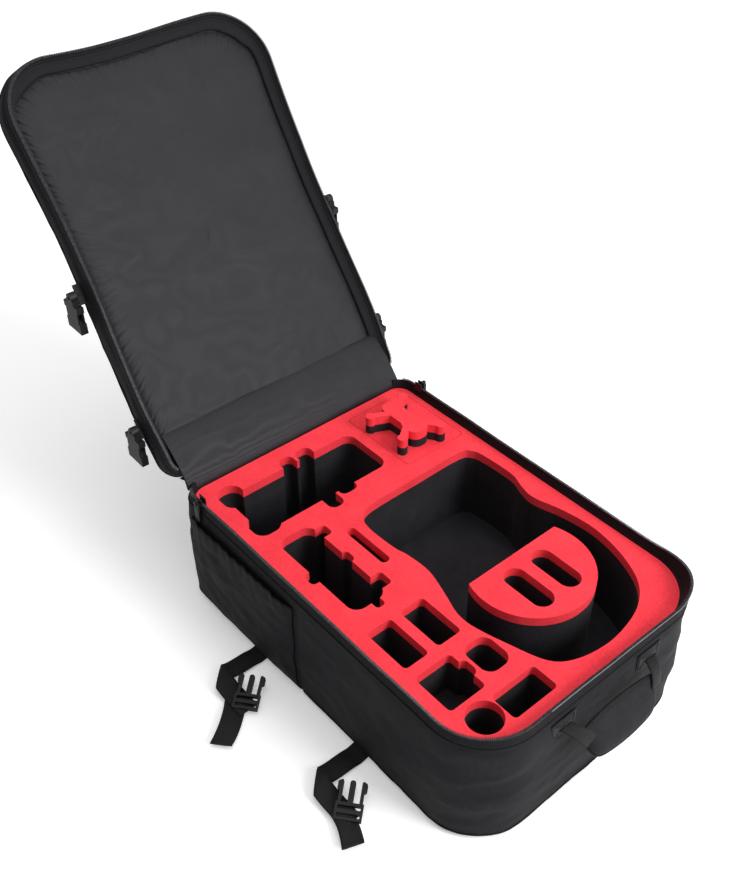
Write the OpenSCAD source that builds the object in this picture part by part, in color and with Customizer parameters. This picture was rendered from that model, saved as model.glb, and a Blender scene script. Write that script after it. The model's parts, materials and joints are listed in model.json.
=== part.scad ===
// Soft carrying case for a folding quadcopter and its accessories.
// A zipped bag body lies on its back and holds a block of layered foam with cut pockets.
// The padded lid is hinged at one short end; the grab handle is at the other.
// +X runs from the hinge end to the handle end, +Y to the far long side, +Z up.
// The origin is at the middle of the bag's underside.

/* [Foam insert] */
// Length of the foam block, hinge end to handle end
foam_l = 496; // [494:1:500]
// Width of the foam block
foam_w = 338; // [336:1:342]
// Thickness of the plain sheet that closes the pockets below
foam_base_h = 20; // [14:1:24]
// Height of the lower foam layer, cut only by the deep pockets
foam_low_h = 50; // [40:1:60]
// Height of the middle foam layer, cut by every pocket
foam_mid_h = 44; // [38:1:50]
// Thickness of the coloured top layer
foam_top_h = 12; // [8:1:14]
// Ledge under the lift-out cover of the small-parts compartment
ledge_w = 10; // [6:1:12]
// Thickness of the black sheet under that cover
cover_core_h = 8; // [6:1:12]
// Height of the black layer of the cover's grip
grip_core_h = 12; // [8:1:13]
// Height of the coloured layer of the cover's grip
grip_top_h = 12; // [8:1:13]

/* [Bag body] */
// Thickness of the floor's outer panel
floor_t = 6; // [4:1:8]
// Thickness of the back padding between the floor and the foam
back_pad_t = 24; // [18:1:28]
// Thickness of the padded side wall
wall_t = 5; // [4:0.5:6]
// Thickness of the inner lining
lining_t = 1.5; // [1:0.25:2]
// Plan radius of the two corners at the hinge end
corner_back = 26; // [20:1:32]
// Plan radius of the two corners at the handle end
corner_front = 70; // [60:1:76]
// Height of the zipper tape that stands on the wall
tape_h = 9; // [7:1:10]
// Length of each flat side pocket
pocket_l = 196; // [150:1:200]

/* [Lid] */
// Angle between the lid and the closed position, as it stands open
lid_open = 125; // [100:1:170]
// Depth of the lid's side wall
gusset_h = 22; // [18:1:30]
// Thickness of the outer panel
panel_t = 5; // [3:1:6]
// Thickness of the quilted lining panel
lid_lining_t = 9; // [7:1:9]
// Distance from the hinge end to the first buckle tab
tab_near = 74; // [60:1:90]
// Distance from the hinge end to the second buckle tab
tab_far = 246; // [220:1:270]

/* [Straps and handle] */
// Width of the webbing
web_w = 25; // [20:1:30]
// Thickness of the webbing
web_t = 1.6; // [1.2:0.1:2]
// Distance of the compression strap nearer the hinge from the middle of the bag
strap_back_x = 103; // [90:1:115]
// Distance of the compression strap nearer the handle from the middle of the bag
strap_front_x = 82; // [70:1:95]
// Distance that each compression strap lies out from the side wall
strap_reach = 64; // [56:1:80]
// Distance between the two handle anchors
handle_span = 132; // [120:1:140]
// Height of the handle's stitch line
handle_z = 138; // [134:1:142]
// Droop of the handle below level
handle_droop = 40; // [30:1:45]

/* [Hidden] */
$fn = 48;
EPS = 0.01;

// Heights through the stack
base_z = floor_t + back_pad_t;
low_z = base_z + foam_base_h;
mid_z = low_z + foam_low_h;
red_z = mid_z + foam_mid_h;
foam_z = red_z + foam_top_h;
wall_z = foam_z + 2;
tape_z = wall_z + tape_h;
teeth_h = 2.2;
teeth_z = tape_z + teeth_h;

// Plan of the bag
foam_gap = 1;
foam_in = wall_t + lining_t + foam_gap;
half_l = foam_l / 2 + foam_in;
half_w = foam_w / 2 + foam_in;
trim_out = 1.2;
tape_out = 2;
tape_in = 3.6;
teeth_out = 1.2;
teeth_in = 4.4;
zip_start = 6;

// Lid hinge line, just outside the rim at the hinge end
hinge_gap = 2.5;
hinge_x = -half_l - hinge_gap;
hinge_z = teeth_z + 1.05;
hinge_half = half_w - corner_back;
bead_r = 1.8;

// Lid heights in its closed position
lid_teeth_z = teeth_z + 3;
lid_tape_z = lid_teeth_z + 1.6;
lid_gusset_z = lid_tape_z + 8;
lid_lining_z = lid_gusset_z + 3;
lid_pad_z = lid_lining_z + lid_lining_t;
lid_panel_z = lid_gusset_z + gusset_h;
lid_in = 4.5;
gusset_t = 4;

// Pockets, as [x0, x1, y0, y1] in the plan
drone_body = [-212, -135, -142, 49];
control_body = [-112, 28, -140, -93];
card_slot = [-77, -8, -69, -57];
battery_pockets = [[57, 118, -149, -116], [57, 118, -103, -70], [198, 232, -108, -47]];
charger_pocket = [132, 185, -150, -101];
adapter_pocket = [136, 179, -90, -55];
cover_plan = [-234, -116, 65, 160];
grip_c = [-170, 106];
grip_arms = [
    [[-16, -8], [-28, -32]], [[15, -8], [31, -30]], [[20, 8], [42, 24]], [[-20, 6], [-34, 28]]
];
cable_c = [211, -129];
cable_r = 20;

// Headset pocket: a rounded outline through these points
headset_pts = [
    [-91, -14], [-92, 60], [-92, 128], [-84, 144], [-66, 149], [-20, 150], [2, 143], [26, 139],
    [66, 149], [108, 153], [152, 145], [190, 128], [212, 105], [224, 75], [229, 34], [222, -6],
    [204, -31], [160, -47], [122, -57], [98, -57], [70, -48], [34, -38], [0, -39], [-20, -43],
    [-62, -44], [-82, -36]
];

// Island inside the headset pocket: a disc cut flat on its hinge side
island_c = [103, 51];
island_r = 74;
island_flat_x = 76;
island_pockets = [[89, 155, 58, 86], [89, 155, 14, 42]];
island_pocket_z = mid_z;

// Zipper sliders on the straight long sides
slider_x = -214;
slider_l = 12;
slider_y = half_w - (tape_out + tape_in) / 2;
plate_gap = 2;
plate_t = 1.4;
slider_lo = tape_z - 3;
slider_hi = lid_tape_z + 2.5;
pull_y = slider_y + plate_gap + plate_t + 3.4;
pull_z = hinge_z + 2;
pull_pin_r = 0.9;
pull_bore_r = 1.3;

// Grab handle
handle_x = half_l + 3.5;
leg_l = 15;
grip_w = 34;
grip_t = 12;

// Free tails of the compression straps, as [length, turn away from the bag]
tail_back = [70, 40];
tail_front = [54, 12];

// Buckles
male_w = 30;
male_t = 5;
male_tilt = 12;
male_turn = 130;
female_w = 32;
female_l = 36;
female_t = 9;

shell_black = [0.09, 0.09, 0.10];
lining_grey = [0.25, 0.25, 0.28];
foam_black = [0.13, 0.12, 0.14];
foam_red = [0.95, 0.25, 0.32];
trim_black = [0.06, 0.06, 0.07];
plastic_black = [0.04, 0.04, 0.05];
metal_dark = [0.25, 0.25, 0.27];

// ---- shared outlines ----

// Plan of the bag, moved in by o: tight corners at the hinge end, wide ones at the handle end
module plan(o) {
    hx = half_l - o;
    hy = half_w - o;
    rb = corner_back - o;
    rf = corner_front - o;
    translate([-hx + rb, -hy]) square([2 * hx - rb - rf, 2 * hy]);
    translate([-hx, -hy + rb]) square([hx, 2 * (hy - rb)]);
    translate([0, -hy + rf]) square([hx, 2 * (hy - rf)]);
    for (s = [-1, 1]) {
        translate([-hx + rb, s * (hy - rb)]) circle(rb);
        translate([hx - rf, s * (hy - rf)]) circle(rf, $fn = 96);
    }
}

module slab(o, z0, z1) {
    translate([0, 0, z0]) linear_extrude(z1 - z0) plan(o);
}

module ring(o1, o2, z0, z1) {
    translate([0, 0, z0]) linear_extrude(z1 - z0) difference() {
        plan(o1);
        plan(o2);
    }
}

// A ring that leaves the hinge end open
module zip_ring(o1, o2, z0, z1) {
    difference() {
        ring(o1, o2, z0, z1);
        translate([-half_l - 5, -half_w, z0 - 1])
            cube([zip_start + 5, 2 * half_w, z1 - z0 + 2]);
    }
}

// Rectangle [x0, x1, y0, y1] with corners of radius r
module pocket(b, r) {
    translate([b[0] + r, b[2]]) square([b[1] - b[0] - 2 * r, b[3] - b[2]]);
    translate([b[0], b[2] + r]) square([b[1] - b[0], b[3] - b[2] - 2 * r]);
    for (x = [b[0] + r, b[1] - r], y = [b[2] + r, b[3] - r]) translate([x, y]) circle(r);
}

// Point at t in 0..1 between p1 and p2 on a smooth curve through p0, p1, p2, p3
function spline(p0, p1, p2, p3, t) =
    0.5 * (2 * p1 + t * (p2 - p0) + t * t * (2 * p0 - 5 * p1 + 4 * p2 - p3)
    + t * t * t * (3 * p1 - p0 - 3 * p2 + p3));

function smooth(pts, steps) = let (n = len(pts)) [
    for (i = [0:n - 1], k = [0:steps - 1])
        spline(pts[(i + n - 1) % n], pts[i], pts[(i + 1) % n], pts[(i + 2) % n], k / steps)
];

// ---- pockets in the foam ----

module drone_pocket() {
    pocket(drone_body, 14);
    pocket([-230, -190, -149, -117], 14);
    pocket([-166, -129, -150, -114], 14);
    pocket([-228, -200, -56, -35], 8);
    pocket([-228, -200, -31, -8], 8);
    pocket([-150, -114, -56, -35], 9);
    pocket([-150, -125, -31, -6], 8);
}

module control_pocket() {
    pocket(control_body, 14);
    pocket([-101, -84, -110, -80], 5);
    pocket([-2, 19, -110, -79], 5);
    pocket([-52, -34, -110, -87], 6);
    pocket([-52, -33, -149, -120], 6);
    pocket([10, 38, -117, -105], 4);
}

module headset_pocket() {
    polygon(smooth(headset_pts, 5));
}

module charger_cut() {
    pocket(charger_pocket, 5);
    pocket([146, 168, -110, -94], 7);
}

module deep_pockets() {
    drone_pocket();
    control_pocket();
    headset_pocket();
    for (b = battery_pockets) pocket(b, 5);
}

module shallow_pockets() {
    pocket(card_slot, 5.5);
    charger_cut();
    pocket(adapter_pocket, 13);
    translate(cable_c) circle(cable_r);
}

// Compartment under the lift-out cover, narrower than the cover by the ledge
module compartment() {
    b = cover_plan;
    pocket([b[0] + ledge_w, b[1] - ledge_w, b[2] + ledge_w, b[3] - ledge_w], 6);
}

module cover_outline(gap) {
    b = cover_plan;
    pocket([b[0] + gap, b[1] - gap, b[2] + gap, b[3] - gap], 5);
}

module island_outline() {
    intersection() {
        translate(island_c) circle(island_r, $fn = 96);
        translate([island_flat_x, island_c[1] - island_r]) square(2 * island_r);
    }
}

// Four-rotor aircraft seen from above, the shape of the cover's grip
module grip_outline() {
    arm_w = 9;
    pad_r = 6.5;
    pocket([-36, 20, -12, 12], 11);
    pocket([4, 37, -15, 13], 12);
    for (a = grip_arms) {
        d = a[1] - a[0];
        translate(a[0]) rotate(atan2(d[1], d[0])) {
            translate([0, -arm_w / 2]) square([norm(d), arm_w]);
            translate([norm(d), 0]) circle(pad_r);
        }
    }
}

// ---- bag body ----

module floor_panel() {
    color(shell_black) slab(0, 0, floor_t);
}

module side_wall() {
    color(shell_black) ring(0, wall_t, floor_t, wall_z);
}

module back_padding() {
    color(foam_black) slab(wall_t + lining_t, floor_t, base_z);
}

module body_lining() {
    color(lining_grey) ring(wall_t, wall_t + lining_t, floor_t, wall_z);
}

module floor_piping() {
    color(trim_black) ring(-trim_out, 0, 4, 7);
}

module rim_welt() {
    color(trim_black) ring(-trim_out, 0, wall_z - 5, wall_z - 1);
}

module body_zip_tape() {
    color(trim_black) zip_ring(tape_out, tape_in, wall_z, tape_z);
}

module body_zip_teeth() {
    color(metal_dark) zip_ring(teeth_out, teeth_in, tape_z, teeth_z);
}

// Fabric strip that closes the hinge end; a narrow web joins it to its rolled edge
module hinge_fabric() {
    bead_z = hinge_z - 4;
    color(shell_black) {
        translate([-half_l, -hinge_half, wall_z])
            cube([wall_t - 1, 2 * hinge_half, teeth_z - wall_z]);
        translate([hinge_x, -hinge_half, bead_z - 1])
            cube([hinge_gap + 1, 2 * hinge_half, 2]);
        translate([hinge_x, hinge_half, bead_z]) rotate([90, 0, 0])
            cylinder(r = bead_r, h = 2 * hinge_half);
    }
}

module side_pocket() {
    color(shell_black) translate([-half_l + corner_back + 2, half_w, 9])
        cube([pocket_l, 2.5, wall_z - 31]);
}

module side_pocket_near() {
    mirror([0, 1, 0]) side_pocket();
}

module side_pocket_far() {
    side_pocket();
}

module pocket_elastics() {
    color(trim_black) for (s = [0, 1]) mirror([0, s, 0])
        translate([-half_l + corner_back + 2, half_w, wall_z - 22])
            cube([pocket_l, 2.5, 6]);
}

module handle_patches() {
    color(trim_black) for (s = [-1, 1])
        translate([half_l, s * handle_span / 2 - 19, handle_z - 16]) cube([1.2, 38, 30]);
}

// ---- compression straps: out over the ground, folded square, then a free tail ----

module strap(x, tail) {
    half = web_w / 2;
    y1 = half_w + strap_reach;
    color(trim_black) {
        linear_extrude(web_t) polygon([
            [x - half, half_w], [x + half, half_w], [x + half, y1 + half], [x - half, y1 - half]
        ]);
        translate([0, 0, web_t]) linear_extrude(web_t) polygon([
            [x - half, y1 - half], [x + 42, y1 - half], [x + 42, y1 + half], [x + half, y1 + half]
        ]);
        translate([x + 30, y1, 0]) rotate(tail[1])
            translate([0, -half, 0]) cube([tail[0], web_w, web_t]);
    }
}

module strap_far() {
    strap(-strap_back_x, tail_back);
    strap(strap_front_x, tail_front);
}

module strap_near() {
    mirror([0, 1, 0]) strap_far();
}

// Buckle half with prongs, lying over the end of the folded webbing; x is its ladder bar
module male_buckle() {
    bar = male_w / 2;
    color(plastic_black) {
        difference() {
            translate([-9, -bar, 0]) cube([19, male_w, male_t]);
            for (x = [-6, 2.5]) translate([x, -bar + 2.5, -1]) cube([4, male_w - 5, male_t + 2]);
        }
        linear_extrude(male_t) {
            pocket([9, 34, -3, 3], 2.5);
            for (s = [0, 1]) mirror([0, s]) {
                pocket([9, 34, 10, 13.5], 1.7);
                pocket([22, 33, 10, 16], 2.5);
            }
        }
    }
}

module male_at(x) {
    translate([x + 50, half_w + strap_reach - 2, 2 * web_t + 0.4]) rotate(-male_turn)
        rotate([0, -male_tilt, 0]) translate([0, 0, 2.2]) male_buckle();
}

module buckle_far_back() {
    male_at(-strap_back_x);
}

module buckle_far_front() {
    male_at(strap_front_x);
}

module buckle_near_back() {
    mirror([0, 1, 0]) male_at(-strap_back_x);
}

module buckle_near_front() {
    mirror([0, 1, 0]) male_at(strap_front_x);
}

// ---- zipper sliders ----

module slider() {
    y0 = slider_y - plate_gap - plate_t;
    y1 = slider_y + plate_gap;
    color(metal_dark) translate([slider_x, 0, 0]) {
        for (y = [y0, y1]) translate([-slider_l / 2, y, slider_lo])
            cube([slider_l, plate_t, slider_hi - slider_lo]);
        translate([-1, y0, teeth_z + 0.5]) cube([2, y1 - y0 + plate_t, 2]);
        difference() {
            translate([-2, y1 + plate_t, pull_z - 3]) cube([4, pull_y - y1 - plate_t + 2.4, 6]);
            translate([-3, pull_y, pull_z]) rotate([0, 90, 0]) cylinder(r = pull_bore_r, h = 6);
        }
    }
}

module pull() {
    arm_x = 2.6;
    color(plastic_black) translate([slider_x, pull_y, pull_z]) {
        translate([-arm_x - 1.6, 0, 0]) rotate([0, 90, 0])
            cylinder(r = pull_pin_r, h = 2 * arm_x + 3.2);
        for (s = [0, 1]) mirror([s, 0, 0]) translate([arm_x, -1, -9]) cube([1.6, 2, 10]);
        translate([-4.2, -1, -9]) cube([8.4, 2, 4]);
        difference() {
            translate([-4.5, -1.2, -30]) cube([9, 2.4, 21 + EPS]);
            translate([0, 2, -25]) rotate([90, 0, 0]) cylinder(r = 2, h = 4);
        }
    }
}

module slider_far() {
    slider();
}

module slider_near() {
    mirror([0, 1, 0]) slider();
}

module pull_far() {
    pull();
}

module pull_near() {
    mirror([0, 1, 0]) pull();
}

// ---- grab handle, drooping from its stitch line ----

module handle_frame() {
    translate([handle_x, 0, handle_z]) rotate([0, handle_droop, 0]) children();
}

module handle_webbing() {
    color(trim_black) handle_frame() for (s = [-1, 1])
        translate([-1.5, s * handle_span / 2 - web_w / 2, -web_t / 2])
            cube([leg_l + grip_w / 2, web_w, web_t]);
}

// The padded grip and the ends that taper to the webbing
module handle_grip() {
    r = grip_t / 2;
    x0 = leg_l + r;
    x1 = leg_l + grip_w - r;
    y_end = handle_span / 2 - web_w / 2 - 0.4;
    color(trim_black) handle_frame() {
        for (x = [x0, x1]) translate([x, y_end, 0]) rotate([90, 0, 0])
            cylinder(r = r, h = 2 * y_end);
        translate([x0, -y_end, -r]) cube([x1 - x0, 2 * y_end, grip_t]);
    }
}

// ---- foam insert ----

module foam_base() {
    color(foam_black) slab(foam_in, base_z, low_z);
}

module foam_low() {
    color(foam_black) translate([0, 0, low_z]) linear_extrude(foam_low_h) difference() {
        plan(foam_in);
        deep_pockets();
        compartment();
    }
}

module foam_mid() {
    color(foam_black) {
        translate([0, 0, mid_z]) linear_extrude(foam_mid_h - cover_core_h) difference() {
            plan(foam_in);
            deep_pockets();
            shallow_pockets();
            compartment();
        }
        translate([0, 0, red_z - cover_core_h]) linear_extrude(cover_core_h) difference() {
            plan(foam_in);
            deep_pockets();
            shallow_pockets();
            cover_outline(0);
        }
    }
}

module foam_top() {
    color(foam_red) translate([0, 0, red_z]) linear_extrude(foam_top_h) difference() {
        plan(foam_in);
        deep_pockets();
        shallow_pockets();
        cover_outline(0);
    }
}

module island_core() {
    color(foam_black) difference() {
        translate([0, 0, low_z]) linear_extrude(red_z - low_z) island_outline();
        translate([0, 0, island_pocket_z]) linear_extrude(foam_z)
            for (b = island_pockets) pocket(b, 13.9);
    }
}

module island_top() {
    color(foam_red) translate([0, 0, red_z]) linear_extrude(foam_top_h) difference() {
        island_outline();
        for (b = island_pockets) pocket(b, 13.9);
    }
}

module cover_core() {
    color(foam_black) translate([0, 0, red_z - cover_core_h]) linear_extrude(cover_core_h)
        cover_outline(0.6);
}

module cover_top() {
    color(foam_red) translate([0, 0, red_z]) linear_extrude(foam_top_h) cover_outline(0.6);
}

module on_cover(z) {
    translate([grip_c[0], grip_c[1], z]) children();
}

module grip_core() {
    color(foam_black) on_cover(foam_z) linear_extrude(grip_core_h) grip_outline();
}

module grip_top() {
    color(foam_red) on_cover(foam_z + grip_core_h) linear_extrude(grip_top_h) grip_outline();
}

// ---- lid, drawn closed and swung open about the hinge line ----

module lid_frame() {
    translate([hinge_x, 0, hinge_z]) rotate([0, -lid_open, 0])
        translate([-hinge_x, 0, -hinge_z]) children();
}

module lid_panel() {
    color(shell_black) lid_frame() slab(0, lid_panel_z, lid_panel_z + panel_t);
}

module lid_gusset() {
    color(shell_black) lid_frame() ring(0, gusset_t, lid_gusset_z, lid_panel_z);
}

module lid_padding() {
    color(foam_black) lid_frame() slab(lid_in, lid_pad_z, lid_panel_z);
}

module lid_lining() {
    color(lining_grey) lid_frame() slab(lid_in, lid_lining_z, lid_pad_z);
}

module lid_piping() {
    color(trim_black) lid_frame() ring(-trim_out, 0, lid_panel_z - 3, lid_panel_z + 1);
}

module lid_zip_tape() {
    color(trim_black) lid_frame() zip_ring(tape_out, tape_in, lid_tape_z, lid_gusset_z);
}

module lid_zip_teeth() {
    color(metal_dark) lid_frame() zip_ring(teeth_out, teeth_in, lid_teeth_z, lid_tape_z);
}

module lid_hinge_flap() {
    color(shell_black) lid_frame() translate([-half_l, -hinge_half, hinge_z + 1])
        cube([wall_t - 1, 2 * hinge_half, lid_gusset_z - hinge_z - 1]);
}

// Tabs sewn into the lid's outer seam; each ends in a short stem for its buckle half
tab_z = lid_panel_z - 7;
tab_out = 9;
stem_r = 1.8;
stem_l = 11;

module lid_tabs() {
    color(trim_black) lid_frame() for (d = [tab_near, tab_far], s = [0, 1]) mirror([0, s, 0])
        translate([-half_l + d, half_w, tab_z]) {
            translate([-web_w / 2, 0, -web_t / 2]) cube([web_w, tab_out, web_t]);
            rotate([-90, 0, 0]) cylinder(r = stem_r, h = tab_out + stem_l);
        }
}

// Place of a tab's stem on the standing lid, from its distance along the lid
function stem_pos(d) = let (x = hinge_gap + d, z = tab_z - hinge_z) [
    hinge_x + x * cos(lid_open) - z * sin(lid_open),
    half_w + tab_out + 1,
    hinge_z + x * sin(lid_open) + z * cos(lid_open)
];

// Buckle half with the socket, hanging straight down from its stem
module clip(d) {
    color(plastic_black) translate(stem_pos(d)) difference() {
        union() {
            rotate([-90, 0, 0]) cylinder(r = 6, h = female_t);
            translate([-female_w / 2, 0, -8 - female_l]) cube([female_w, female_t, female_l]);
            translate([-8, 0, -10]) cube([16, female_t, 8]);
        }
        translate([0, -1, 0]) rotate([-90, 0, 0]) cylinder(r = stem_r + 0.35, h = female_t + 2);
        translate([-female_w / 2 + 2.5, 2, -9 - female_l]) cube([female_w - 5, female_t - 4, 29]);
        for (s = [-1, 1]) translate([s * female_w / 2 - 2.8, -1, -30])
            cube([5.6, female_t + 2, 14]);
    }
}

module clip_far_back() {
    clip(tab_near);
}

module clip_far_front() {
    clip(tab_far);
}

module clip_near_back() {
    mirror([0, 1, 0]) clip(tab_near);
}

module clip_near_front() {
    mirror([0, 1, 0]) clip(tab_far);
}

floor_panel();
side_wall();
back_padding();
body_lining();
floor_piping();
rim_welt();
body_zip_tape();
body_zip_teeth();
hinge_fabric();
side_pocket_near();
side_pocket_far();
pocket_elastics();
handle_patches();
strap_near();
strap_far();
buckle_near_back();
buckle_near_front();
buckle_far_back();
buckle_far_front();
slider_near();
slider_far();
pull_near();
pull_far();
handle_webbing();
handle_grip();
foam_base();
foam_low();
foam_mid();
foam_top();
island_core();
island_top();
cover_core();
cover_top();
grip_core();
grip_top();
lid_panel();
lid_gusset();
lid_padding();
lid_lining();
lid_piping();
lid_zip_tape();
lid_zip_teeth();
lid_hinge_flap();
lid_tabs();
clip_near_back();
clip_near_front();
clip_far_back();
clip_far_front();
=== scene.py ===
"""Looks for the soft drone carrying case: bag body, lid, foam insert, straps and handle."""

import json
import math

import bpy
import numpy as np
from mathutils import Matrix, Vector, noise


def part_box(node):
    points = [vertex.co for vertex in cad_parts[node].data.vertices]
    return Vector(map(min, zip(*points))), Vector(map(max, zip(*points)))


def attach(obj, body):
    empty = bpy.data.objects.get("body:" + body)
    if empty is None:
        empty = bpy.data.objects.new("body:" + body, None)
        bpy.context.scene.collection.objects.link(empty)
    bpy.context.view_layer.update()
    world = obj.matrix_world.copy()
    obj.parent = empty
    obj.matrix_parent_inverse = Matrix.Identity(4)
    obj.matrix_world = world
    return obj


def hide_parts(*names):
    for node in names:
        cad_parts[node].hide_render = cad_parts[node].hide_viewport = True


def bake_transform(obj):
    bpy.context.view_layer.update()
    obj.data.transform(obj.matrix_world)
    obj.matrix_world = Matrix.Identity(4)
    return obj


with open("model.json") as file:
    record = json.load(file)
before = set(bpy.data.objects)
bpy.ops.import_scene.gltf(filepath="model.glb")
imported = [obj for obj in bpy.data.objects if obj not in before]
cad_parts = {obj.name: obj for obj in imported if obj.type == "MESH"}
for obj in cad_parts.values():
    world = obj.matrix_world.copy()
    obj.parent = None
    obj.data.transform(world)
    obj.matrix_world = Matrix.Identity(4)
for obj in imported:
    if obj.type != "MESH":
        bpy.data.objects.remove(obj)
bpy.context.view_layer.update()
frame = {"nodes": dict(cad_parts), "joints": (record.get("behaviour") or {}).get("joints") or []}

MM = 0.001

# ---- sizes read from the frame, in millimetres ----


def cad_box(node):
    low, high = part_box(node)
    return np.array(low) / MM, np.array(high) / MM


def joint(name):
    return next(j for j in frame["joints"] if j["name"] == name)


HALF_L, HALF_W, WALL_Z = cad_box("side_wall")[1]
TAPE_Z, TEETH_Z = (corner[2] for corner in cad_box("body_zip_teeth"))
CORNER_BACK = 26.0
CORNER_FRONT = 70.0
HINGE_HALF = HALF_W - CORNER_BACK
HINGE = np.array(joint("lid_hinge")["pos_m"]) / MM
HANDLE = np.array(joint("handle_lift")["pos_m"]) / MM
HANDLE_SPAN = 132.0

# The lid is drawn closed and stands open by this angle, as the CAD lid does
LID_OPEN = math.radians(125)
LID_TEETH_Z = TEETH_Z + 3
LID_SEAM_Z = LID_TEETH_Z + 9.6
LID_LINING_Z = LID_SEAM_Z + 3
LID_PANEL_Z = LID_SEAM_Z + 22
LID_TOP_Z = LID_PANEL_Z + 5

SIDES = ((-1, "near"), (1, "far"))

# ---- small mathematics ----


def smoothstep(a, b, x):
    t = np.clip((np.asarray(x, float) - a) / (b - a), 0, 1)
    return t * t * (3 - 2 * t)


def fbm(points, wave, seed=0.0, octaves=3):
    """Smooth noise of about -1 to 1 at each point; wave is the size of its largest features, in mm."""
    wave = np.broadcast_to(np.asarray(wave, float), (3,))
    scaled = points / wave + seed
    return np.array([noise.fractal(Vector(p), 1.0, 2.0, octaves) for p in scaled])


def ridges(points, wave, seed=0.0):
    """Noise with sharp crests and soft hollows, as in creased cloth."""
    return 1 - 2 * np.abs(fbm(points, wave, seed, 2))


def run_length(path):
    """Distance along a path at each of its points."""
    return np.r_[0, np.cumsum(np.linalg.norm(np.diff(path, axis=0), axis=1))]


def unit_rows(vectors):
    return vectors / np.linalg.norm(vectors, axis=1)[:, None]


def at_height(points, z):
    """Plan points raised to the height z."""
    return np.c_[points, np.full(len(points), z)]


def bag_outline(spacing, start=0.0, end=1.0, inset=0.0):
    """Points and outward normals round the bag's plan, from the middle of the hinge end by the near side."""
    hx, hy, rb, rf = HALF_L, HALF_W, CORNER_BACK, CORNER_FRONT
    parts = [
        ("line", (-hx, 0), (-hx, -hy + rb)),
        ("arc", (-hx + rb, -hy + rb), rb, 180),
        ("line", (-hx + rb, -hy), (hx - rf, -hy)),
        ("arc", (hx - rf, -hy + rf), rf, 270),
        ("line", (hx, -hy + rf), (hx, hy - rf)),
        ("arc", (hx - rf, hy - rf), rf, 0),
        ("line", (hx - rf, hy), (-hx + rb, hy)),
        ("arc", (-hx + rb, hy - rb), rb, 90),
        ("line", (-hx, hy - rb), (-hx, 0)),
    ]
    lengths = [math.dist(p[1], p[2]) if p[0] == "line" else p[2] * math.pi / 2 for p in parts]
    total = sum(lengths)
    count = max(3, round(total * (end - start) / spacing))
    closed = end - start > 0.9999
    s = start * total + np.arange(count + (not closed)) * total * (end - start) / count
    pts, nrm = np.zeros((len(s), 2)), np.zeros((len(s), 2))
    begin = 0.0
    for p, length in zip(parts, lengths):
        inside = (s >= begin - 1e-9) & (s <= begin + length + 1e-9)
        t = (s[inside] - begin) / length
        if p[0] == "line":
            a, b = np.array(p[1], float), np.array(p[2], float)
            d = (b - a) / length
            pts[inside] = a + t[:, None] * (b - a)
            nrm[inside] = [d[1], -d[0]]
        else:
            ang = np.radians(p[3] + 90 * t)
            nrm[inside] = np.c_[np.cos(ang), np.sin(ang)]
            pts[inside] = np.array(p[1]) + p[2] * nrm[inside]
        begin += length
    return pts - nrm * inset, nrm, s


OUTLINE_LEN = (
    2 * (HINGE_HALF + (2 * HALF_L - CORNER_BACK - CORNER_FRONT))
    + 2 * (HALF_W - CORNER_FRONT)
    + math.pi * (CORNER_BACK + CORNER_FRONT)
)
# As fractions of the outline: the zipper starts inside the hinge corner, and its tape a little further back
ZIP_START = (HINGE_HALF + CORNER_BACK * 0.95) / OUTLINE_LEN
TAPE_START = ZIP_START - 16 / OUTLINE_LEN
ZIP_RANGE = (ZIP_START, 1 - ZIP_START)
TAPE_RANGE = (TAPE_START, 1 - TAPE_START)
TAPE_SPACING = 2.6
TAPE_THICK = 0.5
TEETH_PITCH = 2.1
TEETH_SIZE = (1.25, 3.4, 1.9)

# ---- meshes ----


def new_mesh(name, verts, faces, uvs=None, smooth=True):
    """A mesh object from millimetre points; uvs has one pair for each vertex, in millimetres."""
    mesh = bpy.data.meshes.new(name)
    mesh.from_pydata((np.asarray(verts, float) * MM).tolist(), [], faces)
    if uvs is not None:
        layer = mesh.uv_layers.new(name="UVMap")
        index = np.zeros(len(mesh.loops), int)
        mesh.loops.foreach_get("vertex_index", index)
        layer.data.foreach_set("uv", (np.asarray(uvs, float) * MM)[index].ravel())
    mesh.update()
    obj = bpy.data.objects.new(name, mesh)
    bpy.context.scene.collection.objects.link(obj)
    if smooth:
        mesh.shade_smooth()
    return obj


def grid_faces(rows, cols, wrap_cols=False, wrap_rows=False):
    """Quads of a grid of vertices, stored row by row."""
    faces = []
    for r in range(rows if wrap_rows else rows - 1):
        r2 = (r + 1) % rows
        for c in range(cols if wrap_cols else cols - 1):
            c2 = (c + 1) % cols
            faces.append((r * cols + c, r * cols + c2, r2 * cols + c2, r2 * cols + c))
    return faces


def loft(name, rings, wrap_cols=False, wrap_rows=False, cap_last=False, cap_first=False):
    """A skin over rings of points, each (n, 3); a cap is a fan about the middle of an end ring."""
    rings = [np.asarray(r, float) for r in rings]
    n = len(rings[0])
    faces = grid_faces(len(rings), n, wrap_cols, wrap_rows)
    verts = np.concatenate(rings)
    around = run_length(rings[0])
    along = 0.0
    uvs = []
    for i, r in enumerate(rings):
        if i:
            along += float(np.mean(np.linalg.norm(r - rings[i - 1], axis=1)))
        uvs.append(np.c_[around, np.full(n, along)])
    uvs = np.concatenate(uvs)
    caps = ((cap_last, rings[-1], len(verts) - n, 1), (cap_first, rings[0], 0, -1))
    for wanted, ring, base, turn in caps:
        if not wanted:
            continue
        middle = len(verts)
        verts = np.r_[verts, ring.mean(0)[None]]
        uvs = np.r_[uvs, uvs[base : base + n].mean(0)[None]]
        faces += [(base + i, base + (i + 1) % n, middle)[::turn] for i in range(n)]
    return new_mesh(name, verts, faces, uvs)


def modify(obj, kind, **settings):
    m = obj.modifiers.new(kind.title(), kind)
    for key, value in settings.items():
        setattr(m, key, value)


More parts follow.
